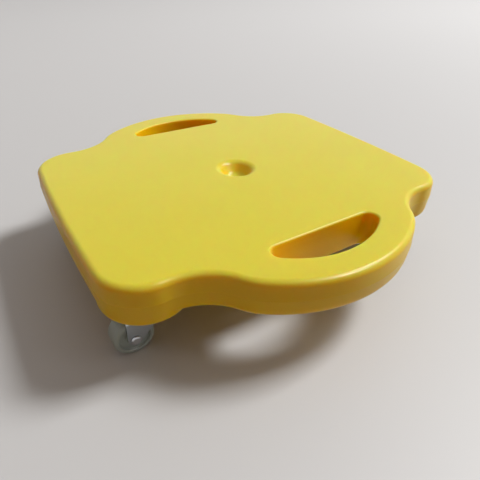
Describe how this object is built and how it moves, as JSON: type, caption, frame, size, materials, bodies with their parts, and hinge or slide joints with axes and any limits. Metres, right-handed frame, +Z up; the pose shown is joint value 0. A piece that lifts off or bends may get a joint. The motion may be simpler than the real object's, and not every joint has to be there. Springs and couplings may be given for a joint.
{
  "type": "scooter board",
  "caption": "Low four-cornered moulded plastic scooter board with a hand slot at each end and swivelling plate casters under its corners.",
  "frame": {"origin": "on the floor, under the middle of the deck", "axes": "+Z up, +Y from the front handle to the rear handle, +X to the right plain side"},
  "size_m": [0.405, 0.43, 0.095],
  "materials": {
    "deck_plastic": "satin moulded yellow polyethylene",
    "wheel_plastic": "milky white nylon",
    "zinc_steel": "zinc-plated pressed steel",
    "bright_steel": "bright zinc-plated steel"
  },
  "bodies": {
    "board": {"deck": "deck_plastic", "front_left_plate": "zinc_steel", "front_left_plate_screw_1": "bright_steel", "front_left_plate_screw_2": "bright_steel", "front_left_plate_screw_3": "bright_steel", "front_left_plate_screw_4": "bright_steel", "front_left_kingpin": "bright_steel", "front_left_kingpin_washer": "zinc_steel", "front_right_plate": "zinc_steel", "front_right_plate_screw_1": "bright_steel", "front_right_plate_screw_2": "bright_steel", "front_right_plate_screw_3": "bright_steel", "front_right_plate_screw_4": "bright_steel", "front_right_kingpin": "bright_steel", "front_right_kingpin_washer": "zinc_steel", "rear_left_plate": "zinc_steel", "rear_left_plate_screw_1": "bright_steel", "rear_left_plate_screw_2": "bright_steel", "rear_left_plate_screw_3": "bright_steel", "rear_left_plate_screw_4": "bright_steel", "rear_left_kingpin": "bright_steel", "rear_left_kingpin_washer": "zinc_steel", "rear_right_plate": "zinc_steel", "rear_right_plate_screw_1": "bright_steel", "rear_right_plate_screw_2": "bright_steel", "rear_right_plate_screw_3": "bright_steel", "rear_right_plate_screw_4": "bright_steel", "rear_right_kingpin": "bright_steel", "rear_right_kingpin_washer": "zinc_steel"},
    "front_left_swivel": {"front_left_fork": "zinc_steel", "front_left_ball_race": "bright_steel", "front_left_wheel_bush": "bright_steel", "front_left_axle_bolt": "bright_steel", "front_left_axle_nut": "zinc_steel"},
    "front_left_roller": {"front_left_wheel": "wheel_plastic"},
    "front_right_swivel": {"front_right_fork": "zinc_steel", "front_right_ball_race": "bright_steel", "front_right_wheel_bush": "bright_steel", "front_right_axle_bolt": "bright_steel", "front_right_axle_nut": "zinc_steel"},
    "front_right_roller": {"front_right_wheel": "wheel_plastic"},
    "rear_left_swivel": {"rear_left_fork": "zinc_steel", "rear_left_ball_race": "bright_steel", "rear_left_wheel_bush": "bright_steel", "rear_left_axle_bolt": "bright_steel", "rear_left_axle_nut": "zinc_steel"},
    "rear_left_roller": {"rear_left_wheel": "wheel_plastic"},
    "rear_right_swivel": {"rear_right_fork": "zinc_steel", "rear_right_ball_race": "bright_steel", "rear_right_wheel_bush": "bright_steel", "rear_right_axle_bolt": "bright_steel", "rear_right_axle_nut": "zinc_steel"},
    "rear_right_roller": {"rear_right_wheel": "wheel_plastic"}
  },
  "joints": [
    {"name": "front_left_swivel_turn", "type": "hinge", "parent": "board", "child": "front_left_swivel", "pos_m": [-0.161, -0.107, 0.0424], "axis": [0, 0, 1], "continuous": true},
    {"name": "front_left_wheel_spin", "type": "hinge", "parent": "front_left_swivel", "child": "front_left_roller", "pos_m": [-0.177, -0.107, 0.019], "axis": [0, 1, 0], "continuous": true},
    {"name": "front_right_swivel_turn", "type": "hinge", "parent": "board", "child": "front_right_swivel", "pos_m": [0.161, -0.107, 0.0424], "axis": [0, 0, 1], "continuous": true},
    {"name": "front_right_wheel_spin", "type": "hinge", "parent": "front_right_swivel", "child": "front_right_roller", "pos_m": [0.145, -0.107, 0.019], "axis": [0, 1, 0], "continuous": true},
    {"name": "rear_left_swivel_turn", "type": "hinge", "parent": "board", "child": "rear_left_swivel", "pos_m": [-0.161, 0.107, 0.0424], "axis": [0, 0, 1], "continuous": true},
    {"name": "rear_left_wheel_spin", "type": "hinge", "parent": "rear_left_swivel", "child": "rear_left_roller", "pos_m": [-0.145, 0.107, 0.019], "axis": [0, 1, 0], "continuous": true},
    {"name": "rear_right_swivel_turn", "type": "hinge", "parent": "board", "child": "rear_right_swivel", "pos_m": [0.161, 0.107, 0.0424], "axis": [0, 0, 1], "continuous": true},
    {"name": "rear_right_wheel_spin", "type": "hinge", "parent": "rear_right_swivel", "child": "rear_right_roller", "pos_m": [0.145, 0.107, 0.019], "axis": [0, 1, 0], "continuous": true}
  ]
}
